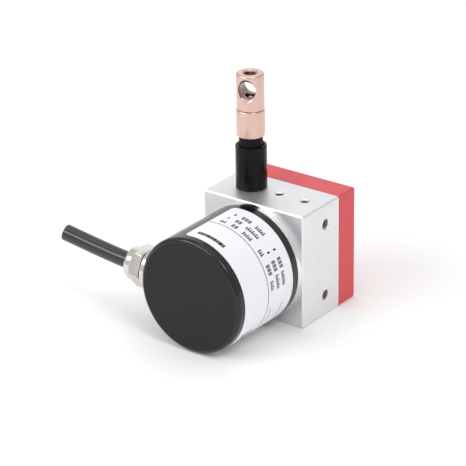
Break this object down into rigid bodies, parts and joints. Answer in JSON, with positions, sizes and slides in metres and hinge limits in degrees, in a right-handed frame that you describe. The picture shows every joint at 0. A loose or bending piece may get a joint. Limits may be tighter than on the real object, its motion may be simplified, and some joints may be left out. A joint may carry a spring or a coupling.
{
  "type": "draw wire encoder",
  "caption": "Draw wire encoder: square aluminium drum housing with red rear cover, round black encoder with a side cable gland, and a copper-coloured wire eye on a nozzle.",
  "frame": {"origin": "centre of the base face of the square drum housing", "axes": "+Z is the way the wire is drawn, +Y runs along the drum axis towards the rear cover, +X is towards the tapped side face opposite the cable gland"},
  "size_m": [0.0759, 0.0628, 0.0781],
  "materials": {
    "satin_aluminium": "fine satin milled aluminium with clear anodising",
    "red_cover": "satin red anodised aluminium",
    "black_rubber": "matte black rubber",
    "dark_steel": "black oxide steel",
    "plain_steel": "turned steel",
    "spring_steel": "blued spring strip",
    "bearing_steel": "ground bearing steel",
    "black_nozzle": "glossy black turned plastic",
    "white_ceramic": "sintered ceramic",
    "bright_aluminium": "bright turned aluminium",
    "black_can": "black coated metal, glossy on the side and matte on the front",
    "white_label": "satin white polyester film",
    "plain_brass": "turned brass",
    "black_plastic": "moulded black plastic",
    "clear_plastic": "clear moulded lens",
    "green_board": "solder resist over glass fibre",
    "white_plastic": "moulded white plastic",
    "nickel_plate": "nickel-plated brass",
    "cable_jacket": "satin black PVC jacket",
    "core_insulation": "coloured core insulation",
    "disc_steel": "etched metal code disc",
    "wire_rope": "fine stranded stainless wire",
    "copper_finish": "satin copper-coloured finish"
  },
  "bodies": {
    "housing": {"drum_housing": "satin_aluminium", "rear_cover": "red_cover", "cover_gasket": "black_rubber", "cover_screws": "dark_steel", "bearing_plate": "satin_aluminium", "plate_screws": "plain_steel", "power_spring": "spring_steel", "spring_anchor": "plain_steel", "bearing_outer_rings": "bearing_steel", "wire_nozzle": "black_nozzle", "wire_guide": "white_ceramic", "encoder_flange": "bright_aluminium", "flange_screws": "plain_steel", "cover_seal": "black_rubber", "encoder_cover": "black_can", "encoder_label": "white_label", "board_posts": "plain_brass", "emitter_holder": "black_plastic", "emitter": "clear_plastic", "sensor_head": "black_plastic", "circuit_board": "green_board", "board_screws": "plain_steel", "board_chips": "black_plastic", "board_capacitors": "black_plastic", "cable_connector": "white_plastic", "gland_body": "nickel_plate", "gland_seal": "black_rubber", "gland_insert": "black_rubber", "gland_nut": "nickel_plate", "gland_lock_nut": "nickel_plate", "signal_cable": "cable_jacket", "cable_cores": "core_insulation"},
    "drum": {"wire_drum": "satin_aluminium", "wound_wire": "wire_rope", "drum_shaft": "plain_steel", "spring_arbor": "plain_brass", "drum_set_screws": "dark_steel", "bearing_inner_rings": "bearing_steel", "bearing_balls": "bearing_steel", "shaft_circlips": "dark_steel", "encoder_shaft": "plain_steel", "disc_hub": "plain_brass", "code_disc": "disc_steel"},
    "wire_end": {"draw_wire": "wire_rope", "wire_ferrule": "plain_steel", "rubber_stopper": "black_rubber", "wire_sleeve": "copper_finish"},
    "eye": {"wire_eye": "copper_finish"}
  },
  "joints": [
    {"name": "wire_pull", "type": "slide", "parent": "housing", "child": "wire_end", "axis": [0, 0, 1], "range_m": [0, 0.5], "stiffness_N_per_m": 2, "springref_m": -1, "deforming": ["draw_wire"]},
    {"name": "drum_spin", "type": "hinge", "parent": "housing", "child": "drum", "pos_m": [0, 0, 0.0195], "axis": [0, 1, 0], "range_deg": [0, 3400]},
    {"name": "eye_swivel", "type": "hinge", "parent": "wire_end", "child": "eye", "pos_m": [-0.00845, 0.00112, 0.066], "axis": [0, 0, 1], "continuous": true}
  ],
  "couplings": [
    {"joint": "drum_spin", "follows": "wire_pull", "rad_per_m": 118.34}
  ]
}
